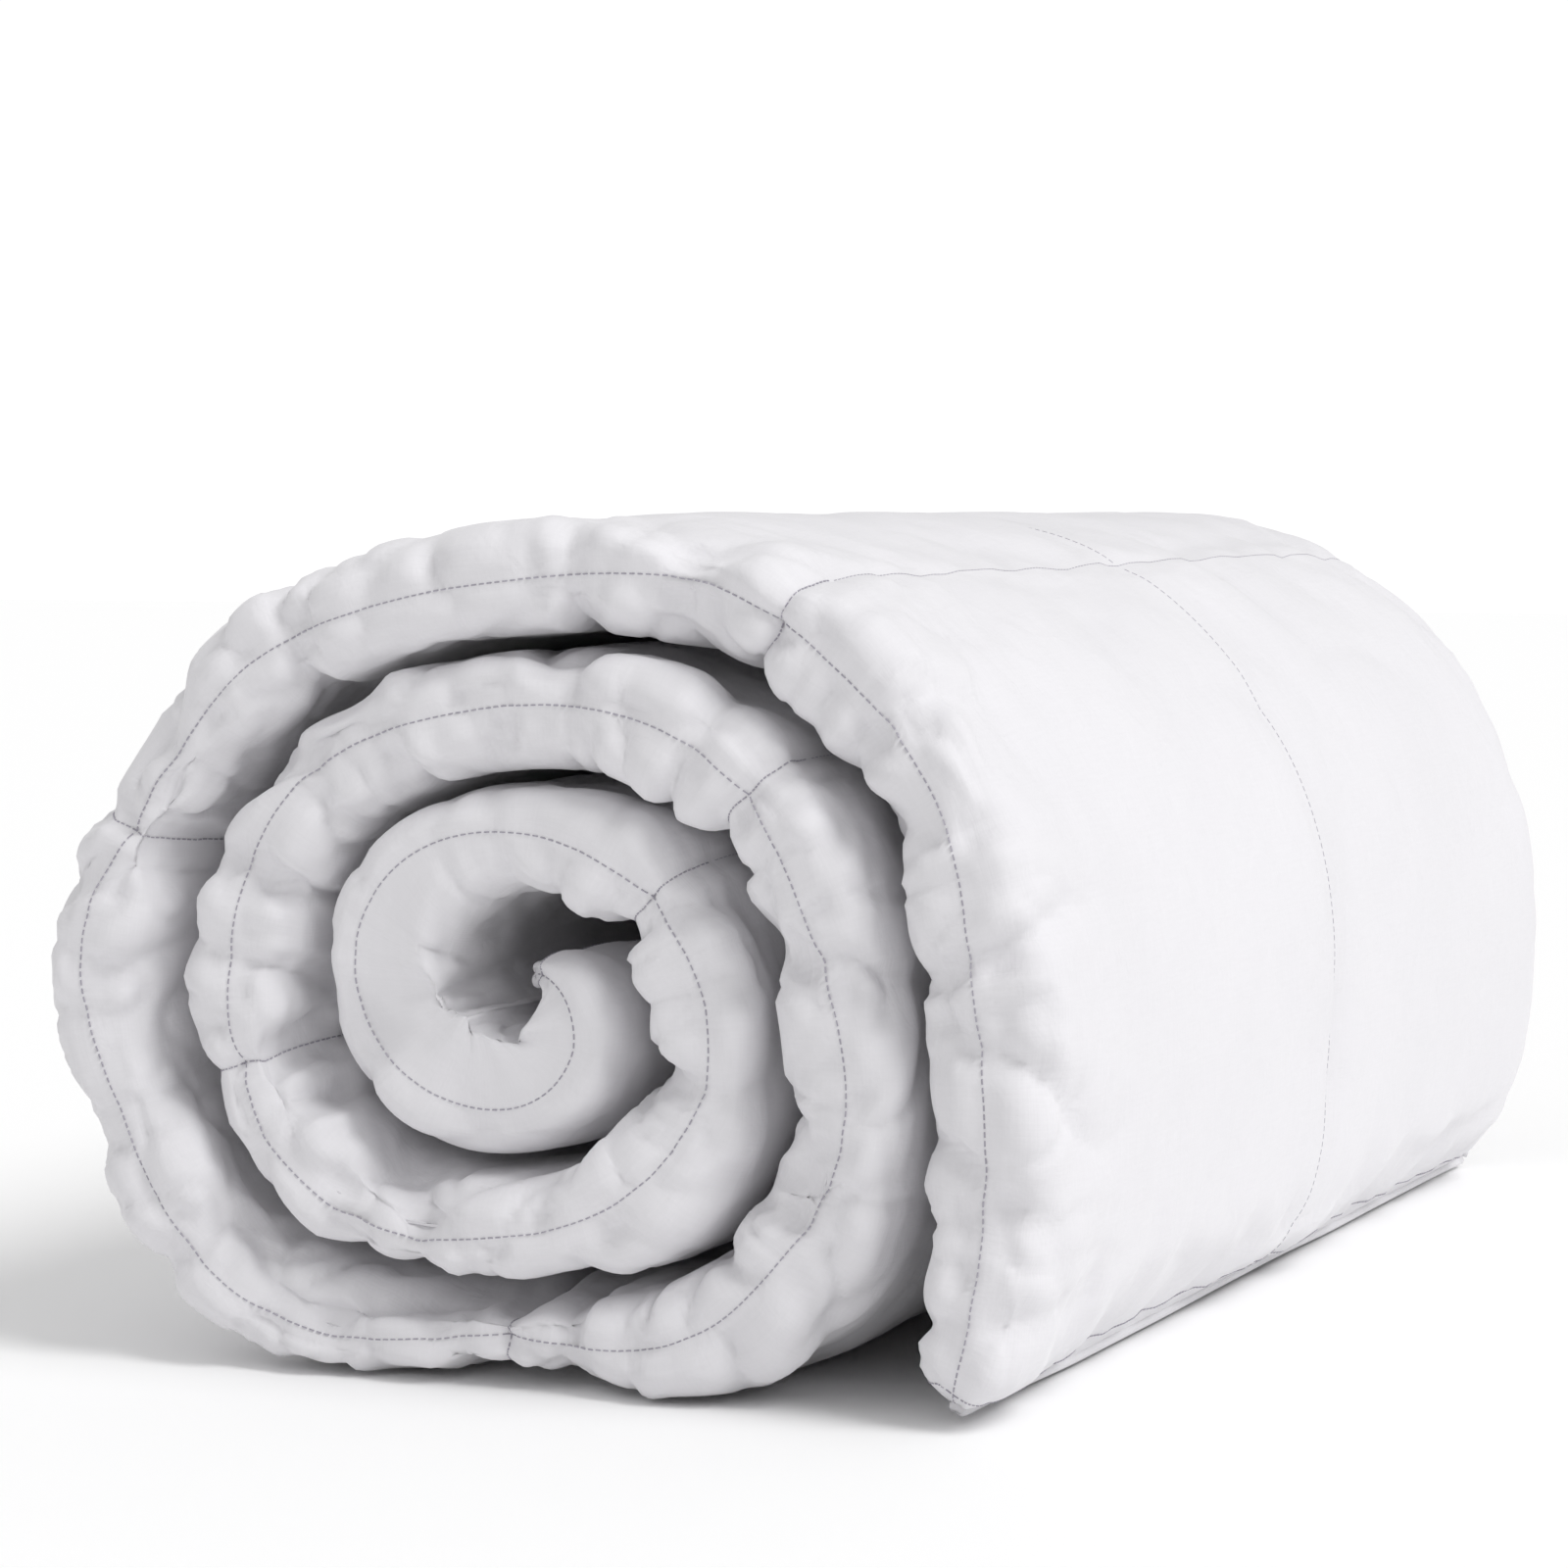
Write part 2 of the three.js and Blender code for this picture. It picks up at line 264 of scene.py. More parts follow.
def soft_noise(seed, s, w, size_s, size_w):
    """Smooth random hills about one unit high, of the given size along and across."""
    r = np.random.default_rng(seed)
    total = np.zeros(np.broadcast(s, w).shape)
    for _ in range(24):
        ks, kw = r.normal(0, 1 / size_s), r.normal(0, 1 / size_w)
        total += np.cos(ks * s + kw * w + r.uniform(0, 2 * np.pi))
    return total / math.sqrt(12)


def tucks(seed, spacing, s, across):
    """Sharp creases that start on the middle seam and die out over the rounded edge."""
    r = np.random.default_rng(seed)
    field = np.zeros_like(s)
    place = r.uniform(0, spacing)
    while place < LENGTH:
        rows = np.abs(S - place) < 90 * MM
        width = r.uniform(3.0, 6.5) * MM
        run = (16 + 55 * r.random() ** 2) * MM
        lean = r.normal(0, 0.3)
        away = np.abs(s[rows] - place - lean * across[rows]) / (width + 0.12 * across[rows])
        fade = np.exp(-((across[rows] / run) ** 2)) * (1 - np.exp(-across[rows] / (3 * MM)))
        field[rows] += r.uniform(0.35, 1.0) * np.exp(-away) * fade
        place += spacing * r.uniform(0.45, 1.7)
    return field


# %% Lay the cotton over both leaves


def lay_cloth():
    s, w = np.meshgrid(S, W, indexing="ij")
    side = np.where(w >= 0, 1.0, -1.0)
    across = np.abs(w)
    y, full = section(across)
    room = np.where(w >= 0, along["outer"][:, None], along["inner"][:, None])
    to_row = np.abs((s + ROW / 2) % ROW - ROW / 2)
    ends = np.minimum(s, LENGTH - s)
    to_row = np.where(ends < ROW / 2, NO_STOP, to_row)
    to_column = np.abs(across - LEAF / 2)
    to_hem = np.minimum(LEAF - across, ends)

    # tucks on the rounded edge
    tuck = np.where(w >= 0, tucks(3, 40 * MM, s, across), tucks(5, 30 * MM, s, across))
    tuck = tuck * (1 - 0.65 * np.clip((1.1 - along["turns"][:, None]) / 0.3, 0, 1))
    full = full * (1 - np.clip(0.38 * tuck, 0, 0.7))
    on_face = np.exp(-((across / (34 * MM)) ** 2))
    off_ends = 1 - valley(ends, 14 * MM)
    y = y + (FOLD_PINCH * valley(across, PINCH_REACH) + 11 * MM * tuck * on_face) * off_ends

    # seams across and along
    near_fold = np.exp(-across / (45 * MM))
    row_depth = 0.10 + 0.42 * near_fold + np.where(w < 0, 0.15, 0)
    full = full * (1 - row_depth * valley(to_row, 8 * MM))
    y = y + 8 * MM * near_fold * valley(to_row, 6 * MM)
    full = full * (1 - 0.12 * valley(to_column, 12 * MM))
    end_reach = np.where(s < LENGTH / 2, 8 * MM + 9 * MM * (1 - near_fold), 15 * MM)
    full = full * (1 - 0.96 * valley(LEAF - across, 14 * MM)) * (1 - 0.96 * valley(ends, end_reach))

    # uneven filling, a wandering fold line, and the core drawn back a little
    full = full * (0.95 + 0.04 * soft_noise(21, s, w, 0.045, 0.12))
    at_core = np.clip((0.9 - along["turns"][:, None]) / 0.2, 0, 1) * (w < 0) * (ends > 16 * MM)
    full = np.clip(full + at_core * 0.85 * (1 - full), 0, 1.05)
    y = y + 3.5 * MM * soft_noise(31, s, w * 0, 0.07, 1.0) * np.exp(-across / 0.15)
    inner_part = np.clip(1.25 - along["turns"][:, None], 0, 1)
    y = y + 14 * MM * inner_part**1.5 * np.exp(-across / 0.25)

    # the corner where the fold meets the free hem is rounded
    corner = np.clip(1 - ends / (45 * MM), 0, 1)
    y = y + 30 * MM * (1 - np.sqrt(1 - corner**2)) * np.exp(-across / (80 * MM))

    half = SEAM_HALF + (HEM_HALF - SEAM_HALF) * valley(to_hem, 6 * MM)
    n = side * (half + np.clip(full, 0, 1) * (room - half))
    shift = 3.0 * MM * soft_noise(41, s, w * 0, 0.035, 1.0) * np.exp(-across / (16 * MM))
    n = np.where(across < 1e-9, 0, n) + shift * (1 - valley(ends, 20 * MM))
    x = along["point"][:, 0:1] + along["out"][:, 0:1] * n
    z = along["point"][:, 1:2] + along["out"][:, 1:2] * n
    return np.stack([x, y, z], -1)


cloth = lay_cloth()
print("laid cotton, mm:", np.round(np.ptp(cloth.reshape(-1, 3), axis=0) * 1000, 1))

# %% [markdown]
# ## Puffing the cloth up
# Quilted cotton is full of small folds because the sewn lines hold it short while the
# down pushes the rest out. A short cloth simulation gives the puffs: the sewn lines are
# pinned, the cloth is cut a little too big for its space, and pressure fills it. It runs
# on every second row to save time, and only a third of its movement is kept near the
# fold, where the full movement tangled; the fine creases there are made in a later step.

# %% How much spare cloth and pressure
SPARE_ON_EDGE = 0.06
SPARE_ON_SIDE = 0.012
PRESSURE = 1.2
FRAMES = 14
KEPT_NEAR_FOLD = 0.3
print("spare cloth", SPARE_ON_EDGE, "on the edge,", SPARE_ON_SIDE, "on the side, for", FRAMES, "frames")


def grid_faces(rows, columns):
    i, j = np.meshgrid(np.arange(rows - 1), np.arange(columns - 1), indexing="ij")
    a = (i * columns + j).ravel()
    return np.stack([a, a + 1, a + columns + 1, a + columns], 1)


# %% Fill the cotton: pins, spare cloth and pressure


def puff(points, rows_at):
    """How far each point of this coarse cloth moves when it is filled."""
    rows, columns = points.shape[:2]
    mesh = bpy.data.meshes.new("trial_cloth")
    mesh.from_pydata(points.reshape(-1, 3).tolist(), [], grid_faces(rows, columns).tolist())
    trial = bpy.data.objects.new("trial_cloth", mesh)
    bpy.context.collection.objects.link(trial)
    held = np.zeros((rows, columns), bool)
    held[:, [0, columns // 2, columns - 1]] = True
    held[[0, -1], :] = True
    for row in range(1, ROWS):
        held[np.argmin(np.abs(rows_at - row * ROW)), :] = True
    for side in (-1, 1):
        held[:, np.argmin(np.abs(W - side * LEAF / 2))] = True
    pins = trial.vertex_groups.new(name="sewn")
    pins.add(np.flatnonzero(held.ravel()).tolist(), 1.0, "REPLACE")
    spare = trial.vertex_groups.new(name="spare")
    share = np.exp(-((np.abs(W) / (75 * MM)) ** 2))
    share = np.where(W < 0, np.maximum(share, 0.35), share)
    steps = np.round(np.broadcast_to(share, (rows, columns)).ravel() * 12).astype(int)
    for step in range(1, 13):
        spare.add(np.flatnonzero(steps == step).tolist(), step / 12, "REPLACE")
    cloth_modifier = trial.modifiers.new("cloth", "CLOTH")
    settings = cloth_modifier.settings
    settings.quality = 4
    settings.mass = 0.15
    settings.tension_stiffness = 25
    settings.compression_stiffness = 25
    settings.shear_stiffness = 8
    settings.bending_stiffness = 0.12
    settings.vertex_group_mass = "sewn"
    settings.pin_stiffness = 1.0
    settings.vertex_group_shrink = "spare"
    settings.shrink_min = -SPARE_ON_SIDE
    settings.shrink_max = -SPARE_ON_EDGE
    settings.use_pressure = True
    settings.uniform_pressure_force = PRESSURE
    settings.effector_weights.gravity = 0
    settings.air_damping = 3
    cloth_modifier.collision_settings.use_collision = False
    scene = bpy.context.scene
    for number in range(1, FRAMES + 1):
        scene.frame_set(number)
    depsgraph = bpy.context.evaluated_depsgraph_get()
    result = trial.evaluated_get(depsgraph).to_mesh()
    moved = np.empty(len(result.vertices) * 3)
    result.vertices.foreach_get("co", moved)
    trial.evaluated_get(depsgraph).to_mesh_clear()
    scene.frame_set(1)
    bpy.data.objects.remove(trial)
    bpy.data.meshes.remove(mesh)
    return moved.reshape(rows, columns, 3) - points


# %% [markdown]
# ## Keeping each turn in its own room
# Filling pushes the cloth into the next turn. Real turns stop one another, so each point
# is moved back along the outward line to stay in its room; a soft limit rounds the
# stop off, where a hard one would leave flat spots with a rim.

# %% Press each turn against its neighbours


def keep_in_room(points):
    out = along["out"][:, None, :]
    from_middle = points[:, :, [0, 2]] - along["point"][:, None, :]
    n = (from_middle * out).sum(-1)
    slip = from_middle - n[..., None] * out
    slip *= np.clip(1, None, 14 * MM / np.maximum(np.linalg.norm(slip, axis=-1, keepdims=True), 1e-9))
    side = np.where(W >= 0, 1.0, -1.0)[None, :]
    room = np.where(W >= 0, along["outer"][:, None], along["inner"][:, None])
    full = n * side / room
    full = np.where(full > 0.85, 0.85 + 0.15 * np.tanh((full - 0.85) / 0.15), full)
    seam = np.abs(W)[None, :] < 9 * MM
    full = np.where(seam, full, np.maximum(full, SEAM_HALF / room))
    place = along["point"][:, None, :] + slip + (full * room * side)[..., None] * out
    kept = points.copy()
    kept[:, :, 0], kept[:, :, 2] = place[..., 0], place[..., 1]
    kept[:, :, 1] = np.clip(kept[:, :, 1], cad_low[1] - 6 * MM, None)
    kept[:, :, 2] = np.maximum(kept[:, :, 2], 0)
    return kept


coarse_moves = puff(cloth[::2], S[::2])
moves = np.empty_like(cloth)
moves[::2] = coarse_moves
moves[1::2] = (coarse_moves[:-1] + coarse_moves[1:]) / 2
on_side = 1 - (1 - KEPT_NEAR_FOLD) * np.exp(-((np.abs(W) / (65 * MM)) ** 2))
cloth = cloth + moves * on_side[None, :, None]
cloth = keep_in_room(cloth)
print("filled cotton spans, mm:", np.round(np.ptp(cloth.reshape(-1, 3), axis=0) * 1000, 1))

# %% [markdown]
# ## Creases
# Crisp cotton does not bend softly: it breaks into flat facets with sharp creases
# between them. Near the fold they run away from the stitched seam; on the taut outside
# of the roll they are long and shallow and follow the pull, round the roll. A random
# height whose sign changes along a wandering line gives such a crease: the distance from
# the line rises like the two sides of a fold.

# %% Crease the cotton


def crease(seed, s, w, size_s, size_w, sharp=1.3):
    return 1 - np.minimum(np.abs(soft_noise(seed, s, w, size_s, size_w)) * sharp, 1) ** 0.7


def normals(points):
    along_s = np.gradient(points, axis=0)
    along_w = np.gradient(points, axis=1)
    normal = np.cross(along_w, along_s)
    return normal / np.maximum(np.linalg.norm(normal, axis=-1, keepdims=True), 1e-12)


def add_creases(points):
    s, w = np.meshgrid(S, W, indexing="ij")
    across = np.abs(w)
    near = np.exp(-((across / (80 * MM)) ** 2))
    inside = np.where(w < 0, 1.15, 1.0) * (1 - 0.45 * np.clip(1.3 - along["turns"][:, None], 0, 1))
    height = -9.5 * crease(61, s, w, 0.030, 0.070, 1.3) * near * inside
    height += 4.2 * crease(62, s, w, 0.040, 0.035, 1.8) * near * inside
    height -= 3.6 * crease(63, s, w, 0.012, 0.030, 2.0) * near * inside
    height -= 1.8 * crease(67, s, w, 0.018, 0.012, 2.2) * near * inside
    side = 1 - np.exp(-((across / (70 * MM)) ** 2))
    height -= 2.0 * crease(64, s, w, 0.100, 0.022, 1.2) * side
    height -= 2.2 * crease(65, s, w, 0.050, 0.070, 1.8) * side
    height = np.clip(height, -11.0, 4.0)
    ends = np.minimum(s, LENGTH - s)
    quiet = 1 - 0.85 * valley(np.minimum(LEAF - across, ends), 10 * MM)
    quiet = quiet * (1 - 0.75 * valley(across, 3 * MM))
    return points + normals(points) * (height * quiet * MM)[..., None]


# %% Ease sharp spots


def pull_to_neighbours(points):
    """How far each inner point is from the middle of its four neighbours."""
    middle = (points[:-2, 1:-1] + points[2:, 1:-1] + points[1:-1, :-2] + points[1:-1, 2:]) / 4
    return middle - points[1:-1, 1:-1]


def ease(points, share):
    """Let each point move a little towards its neighbours; sewn and cut edges stay."""
    eased = points.copy()
    eased[1:-1, 1:-1] += share * pull_to_neighbours(points)
    eased[:, len(W) // 2] = points[:, len(W) // 2]
    return eased


def unsnag(points, rounds=12, longest=1.3 * MM):
    """Pull back single points that stand out of the cloth like a snag."""
    eased = points.copy()
    for _ in range(rounds):
        pull = pull_to_neighbours(eased)
        snagged = np.linalg.norm(pull, axis=-1, keepdims=True) > longest
        eased[1:-1, 1:-1] += 0.6 * pull * (snagged & (np.abs(W[1:-1]) < 90 * MM)[None, :, None])
    eased[:, len(W) // 2] = points[:, len(W) // 2]
    return eased


cloth = unsnag(ease(keep_in_room(add_creases(cloth)), 0.35))
print("creased cotton, mm:", np.round(np.ptp(cloth.reshape(-1, 3), axis=0) * 1000, 1))

# %% [markdown]
# ## Closed pieces
# Each piece is a closed shell: the puffed outer cotton, and the inner cotton that lies
# flat against itself inside the fold, joined round the edge by the hem and at the row
# seams. The free end is one piece, because it lifts; the roll is cut at row seams into
# pieces that are not too large to handle.

# %% The four covers, and the inner cotton
PIECES = {"free_end_cover": (0, 1, "free_end"), "outer_turn_cover": (1, 3, "roll"),
          "middle_turn_cover": (3, 5, "roll"), "core_cover": (5, 7, "roll")}


def inner_cotton(first, last):
    s, w = np.meshgrid(S[first:last + 1], W, indexing="ij")
    y, _ = section(np.abs(w))
    y = np.maximum(y, cloth[first:last + 1, len(W) // 2, 1][:, None] + 5 * MM)
    n = np.where(w >= 0, 1.0, -1.0) * 0.5 * MM * np.clip(np.abs(w) / (20 * MM), 0, 1)
    point = along["point"][first:last + 1, None, :]
    out = along["out"][first:last + 1, None, :]
    flat = point + out * n[..., None]
    return np.stack([flat[..., 0], y, flat[..., 1]], -1)


# %% Make a piece, and join outer and inner cotton into closed covers


def make_piece(name, points, faces, flat=None):
    """A mesh object; flat is each point's place on the unrolled cloth, in metres."""
    mesh = bpy.data.meshes.new(name)
    mesh.from_pydata(points.tolist(), [], faces)
    if flat is not None:
        uv = mesh.uv_layers.new(name="cloth_metres")
        corners = np.empty(len(mesh.loops), int)
        mesh.loops.foreach_get("vertex_index", corners)
        uv.data.foreach_set("uv", flat[corners].ravel())
        mesh.polygons.foreach_set("use_smooth", np.ones(len(mesh.polygons), bool))
    piece = bpy.data.objects.new(name, mesh)
    bpy.context.collection.objects.link(piece)
    return piece


def shell(name, first_row, last_row):
    first, last = row_place(first_row), row_place(last_row)
    face = cloth[first:last + 1]
    back = inner_cotton(first, last)
    rows, columns = face.shape[:2]
    inside = np.full((rows, columns), -1)
    inside[1:-1, 1:-1] = np.arange((rows - 2) * (columns - 2)).reshape(rows - 2, -1) + rows * columns
    outside = np.arange(rows * columns).reshape(rows, columns)
    inside = np.where(inside < 0, outside, inside)
    points = np.concatenate([face.reshape(-1, 3), back[1:-1, 1:-1].reshape(-1, 3)])
    a, b, c, d = inside[:-1, :-1], inside[1:, :-1], inside[1:, 1:], inside[:-1, 1:]
    back_faces = np.stack([a.ravel(), b.ravel(), c.ravel(), d.ravel()], 1)
    faces = np.concatenate([grid_faces(rows, columns), back_faces])
    s, w = np.meshgrid(S[first:last + 1], W, indexing="ij")
    unrolled = np.stack([w, s], -1)
    flat = np.concatenate([unrolled.reshape(-1, 2), unrolled[1:-1, 1:-1].reshape(-1, 2)])
    piece = make_piece(name, points, faces.tolist(), flat)
    mesh = piece.data
    ends = np.empty(len(mesh.edges) * 2, int)
    mesh.edges.foreach_get("vertices", ends)
    ends = ends.reshape(-1, 2)
    at_cut = (ends < columns).all(1) | ((ends >= (rows - 1) * columns) & (ends < rows * columns)).all(1)
    sharp = mesh.attributes.new("sharp_edge", "BOOLEAN", "EDGE")
    sharp.data.foreach_set("value", at_cut)
    print(name, len(mesh.polygons), "faces")
    return piece


covers = {name: shell(name, first, last) for name, (first, last, body) in PIECES.items()}

# %% [markdown]
# ## Piping
# The outside edge of the duvet is piped: a fold of the cotton wraps a thin cord and is
# sewn all round. It is a tube that follows the edge of the cloth, just beyond it.

# %% Piping round the edge
ROUND = 10


def edge_path(first, last):
    """The open edge of rows first to last, with the direction away from the cloth."""
    low, high = row_place(first), row_place(last)
    runs = []
    near, far = cloth[low:high + 1, 0], cloth[low:high + 1, 1]
    runs.append((near[::-1], (near - far)[::-1]))
    if first == 0:
        runs.append((cloth[0, :], cloth[0, :] - cloth[1, :]))
    near, far = cloth[low:high + 1, -1], cloth[low:high + 1, -2]
    runs.append((near, near - far))
    if last == ROWS:
        runs.append((cloth[-1, ::-1], (cloth[-1] - cloth[-2])[::-1]))
    return runs


def settle(path):
    """A cord is too stiff to follow each small pucker, so its path is evened out."""
    path = path.copy()
    for _ in range(8):
        path[1:-1] = (path[:-2] + 2 * path[1:-1] + path[2:]) / 4
    return path


def tube(points, away, radius, name):
    path_direction = np.gradient(points, axis=0)
    path_direction /= np.linalg.norm(path_direction, axis=1, keepdims=True)
    away = away - (away * path_direction).sum(1, keepdims=True) * path_direction
    away /= np.maximum(np.linalg.norm(away, axis=1, keepdims=True), 1e-9)
    beside = np.cross(path_direction, away)
    centre = points + away * radius
    centre[:, 2] = np.maximum(centre[:, 2], radius + 0.1 * MM)
    turn = np.linspace(0, 2 * np.pi, ROUND, endpoint=False)
    ring = (np.cos(turn)[None, :, None] * away[:, None] + np.sin(turn)[None, :, None] * beside[:, None])
    places = (centre[:, None] + radius * ring).reshape(-1, 3)
    i, j = np.meshgrid(np.arange(len(points) - 1), np.arange(ROUND), indexing="ij")
    k = (j + 1) % ROUND
    faces = np.stack([i * ROUND + j, i * ROUND + k, (i + 1) * ROUND + k, (i + 1) * ROUND + j], -1)
    faces = faces.reshape(-1, 4).tolist()
    faces.append(list(range(ROUND))[::-1])
    faces.append([(len(points) - 1) * ROUND + q for q in range(ROUND)])
    run = np.concatenate([[0], np.cumsum(np.linalg.norm(np.diff(points, axis=0), axis=1))])
    flat = np.stack([np.tile(turn * radius, len(points)), np.repeat(run, ROUND)], -1)
    return make_piece(name, places, faces, flat)


pipings = {}
for part, (first, last) in {"free_end": (0, 1), "roll": (1, ROWS)}.items():
    labels = {"free_end": ("inner_edge", "hem", "outer_edge"), "roll": ("inner_edge", "outer_edge", "hem")}
    for label, (points, away) in zip(labels[part], edge_path(first, last)):
        name = f"piping_{label}_{part}"
        pipings[name] = tube(settle(points), settle(away), PIPE_RADIUS, name)
for name, piece in pipings.items():
    print(name, len(piece.data.polygons), "faces")

# %% [markdown]
# ## Stitches
# The quilting is sewn in a slightly darker thread, about three stitches to the
# centimetre along the middle seam, where it shows as a dotted line on the end of the
# roll. Rows and columns are sewn the same way, and one line runs beside the piping.

# %% Stitches on the cloth
STITCH_PITCH = 3.2 * MM
STITCH_LONG = 2.0 * MM
STITCH_THICK = 0.38 * MM
SUNK_THICK = 0.18 * MM


def on_cloth(s, w):
    """Places and outward normals on the outer cotton at cloth coordinates s, w."""
    i = np.clip(np.searchsorted(S, s, side="right") - 1, 0, len(S) - 2)
    j = np.clip(np.searchsorted(W, w, side="right") - 1, 0, len(W) - 2)
    a = ((s - S[i]) / (S[i + 1] - S[i]))[:, None]
    b = ((w - W[j]) / (W[j + 1] - W[j]))[:, None]
    p00, p10, p01, p11 = cloth[i, j], cloth[i + 1, j], cloth[i, j + 1], cloth[i + 1, j + 1]
    place = (1 - a) * (1 - b) * p00 + a * (1 - b) * p10 + (1 - a) * b * p01 + a * b * p11
    normal = np.cross(p01 - p00 + p11 - p10, p10 - p00 + p11 - p01)
    return place, normal / np.linalg.norm(normal, axis=1, keepdims=True)


def seam_line(s0, w0, s1, w1, thick=STITCH_THICK):
    reach = math.hypot(s1 - s0, w1 - w0)
    middles = np.arange(STITCH_PITCH, reach - STITCH_PITCH, STITCH_PITCH) / reach
    half = STITCH_LONG / 2 / reach
    starts, ends = middles - half, middles + half
    a, up = on_cloth(s0 + (s1 - s0) * starts, w0 + (w1 - w0) * starts)
    b, _ = on_cloth(s0 + (s1 - s0) * ends, w0 + (w1 - w0) * ends)
    return a, b, up, np.full((len(a), 1), thick)


def seam_lines(first, last):
    low, high = first * ROW, last * ROW
    inset = 7 * MM
    front, back = max(low, inset), min(high, LENGTH - inset)
    lines = [(low, 0.0, high, 0.0), (low, LEAF / 2, high, LEAF / 2, SUNK_THICK)]
    lines += [(low, LEAF - inset, high, LEAF - inset), (low, inset - LEAF, high, inset - LEAF)]
    rows = range(max(first, 1), last)
    lines += [(row * ROW + 0.2 * MM, -0.14, row * ROW + 0.2 * MM, 0.05) for row in rows]
    lines += [(row * ROW + 0.2 * MM, 0.05, row * ROW + 0.2 * MM, LEAF - inset, SUNK_THICK) for row in rows]
    if first == 0:
        lines.append((front, inset - LEAF, front, LEAF - inset))
    if last == ROWS:
        lines.append((back, inset - LEAF, back, LEAF - inset))
    return lines


def stitches(name, first, last):
    parts = zip(*[seam_line(*line) for line in seam_lines(first, last)])
    a, b, up, thick = (np.concatenate(part) for part in parts)
    run = b - a
    run /= np.linalg.norm(run, axis=1, keepdims=True)
    beside = np.cross(run, up)
    lift = up * (thick * 0.3 + 0.05 * MM)
    rings = []
    for end in (a, b):
        for p, q in ((1, 1), (-1, 1), (-1, -1), (1, -1)):
            rings.append(end + lift + (p * beside + q * up) * thick * 0.6)
    places = np.stack(rings, 1).reshape(-1, 3)
    one = np.array([[0, 1, 2, 3], [7, 6, 5, 4], [0, 4, 5, 1], [1, 5, 6, 2], [2, 6, 7, 3], [3, 7, 4, 0]])
    faces = (np.arange(len(a))[:, None, None] * 8 + one[None]).reshape(-1, 4)
    print(name, len(a), "stitches")
    return make_piece(name, places, faces.tolist())


threads = {"stitches_free_end": stitches("stitches_free_end", 0, 1),
           "stitches_roll": stitches("stitches_roll", 1, ROWS)}

# %% [markdown]
# ## The white cotton
# Downproof cotton is a very tight plain weave: crisp, almost matt, with a faint sheen
# at grazing angles. Its threads are too fine to see one by one, but now and then one is
# thicker, which shows as fine streaks along and across the cloth. Noise stretched along
# each of the two directions gives the streaks, and a wider, soft bump the slight crumple.

# %% The cotton's material


def cotton(name, tint):
    material = bpy.data.materials.new(name)
    material.use_nodes = True
    nodes, links = material.node_tree.nodes, material.node_tree.links
    shader = nodes["Principled BSDF"]
    shader.inputs["Roughness"].default_value = 0.65
    shader.inputs["Sheen Weight"].default_value = 0.25
    shader.inputs["Sheen Roughness"].default_value = 0.45
    shader.inputs["Specular IOR Level"].default_value = 0.3
    where = nodes.new("ShaderNodeTexCoord")
    streaks = []
    for scale in ((900, 60, 1), (60, 900, 1)):
        stretch = nodes.new("ShaderNodeMapping")
        stretch.inputs["Scale"].default_value = scale
        links.new(where.outputs["UV"], stretch.inputs["Vector"])
        noise = nodes.new("ShaderNodeTexNoise")
        noise.inputs["Scale"].default_value = 1.0
        noise.inputs["Detail"].default_value = 2.0
        links.new(stretch.outputs["Vector"], noise.inputs["Vector"])
        streaks.append(noise)
    weave = nodes.new("ShaderNodeMath")
    weave.operation = "ADD"
    links.new(streaks[0].outputs["Fac"], weave.inputs[0])
    links.new(streaks[1].outputs["Fac"], weave.inputs[1])
    cloudy = nodes.new("ShaderNodeTexNoise")
    cloudy.inputs["Scale"].default_value = 9.0
    cloudy.inputs["Detail"].default_value = 3.0
    links.new(where.outputs["Object"], cloudy.inputs["Vector"])
    shade = nodes.new("ShaderNodeMix")
    shade.data_type = "RGBA"
    shade.inputs["A"].default_value = (*[c * 0.955 for c in tint], 1)
    shade.inputs["B"].default_value = (*tint, 1)
    blend = nodes.new("ShaderNodeMath")
    blend.operation = "MULTIPLY_ADD"
    blend.inputs[1].default_value = 0.55
    links.new(weave.outputs[0], blend.inputs[0])
    links.new(cloudy.outputs["Fac"], blend.inputs[2])
    ramp = nodes.new("ShaderNodeMapRange")
    ramp.inputs["From Min"].default_value = 0.75
    ramp.inputs["From Max"].default_value = 1.35
    links.new(blend.outputs[0], ramp.inputs["Value"])
    links.new(ramp.outputs["Result"], shade.inputs["Factor"])
    links.new(shade.outputs["Result"], shader.inputs["Base Color"])
    fine = nodes.new("ShaderNodeBump")
    fine.inputs["Strength"].default_value = 0.25
    fine.inputs["Distance"].default_value = 0.00025
    links.new(weave.outputs[0], fine.inputs["Height"])
    crumple = nodes.new("ShaderNodeTexNoise")
    crumple.inputs["Scale"].default_value = 55.0
    crumple.inputs["Detail"].default_value = 3.0
    crumple.inputs["Distortion"].default_value = 0.6
    links.new(where.outputs["Object"], crumple.inputs["Vector"])
    soft = nodes.new("ShaderNodeBump")
    soft.inputs["Strength"].default_value = 0.5
    soft.inputs["Distance"].default_value = 0.0018
    links.new(crumple.outputs["Fac"], soft.inputs["Height"])
    links.new(soft.outputs["Normal"], fine.inputs["Normal"])
    links.new(fine.outputs["Normal"], shader.inputs["Normal"])
    return material


# %% White cotton on the covers and the piping
WHITE = (0.755, 0.745, 0.77)
percale = cotton("downproof_cotton", WHITE)
for piece in [*covers.values(), *pipings.values()]:
    piece.data.materials.append(percale)
print(percale.name, "on", len(covers) + len(pipings), "pieces")

# %% [markdown]
# ## The sewing thread
# The stitches are a twisted cotton thread, a little greyer than the cloth. A fine noise
# in two greys, with a small bump, stands for the twist; a plain grey would look like wire.

# %% The thread's material


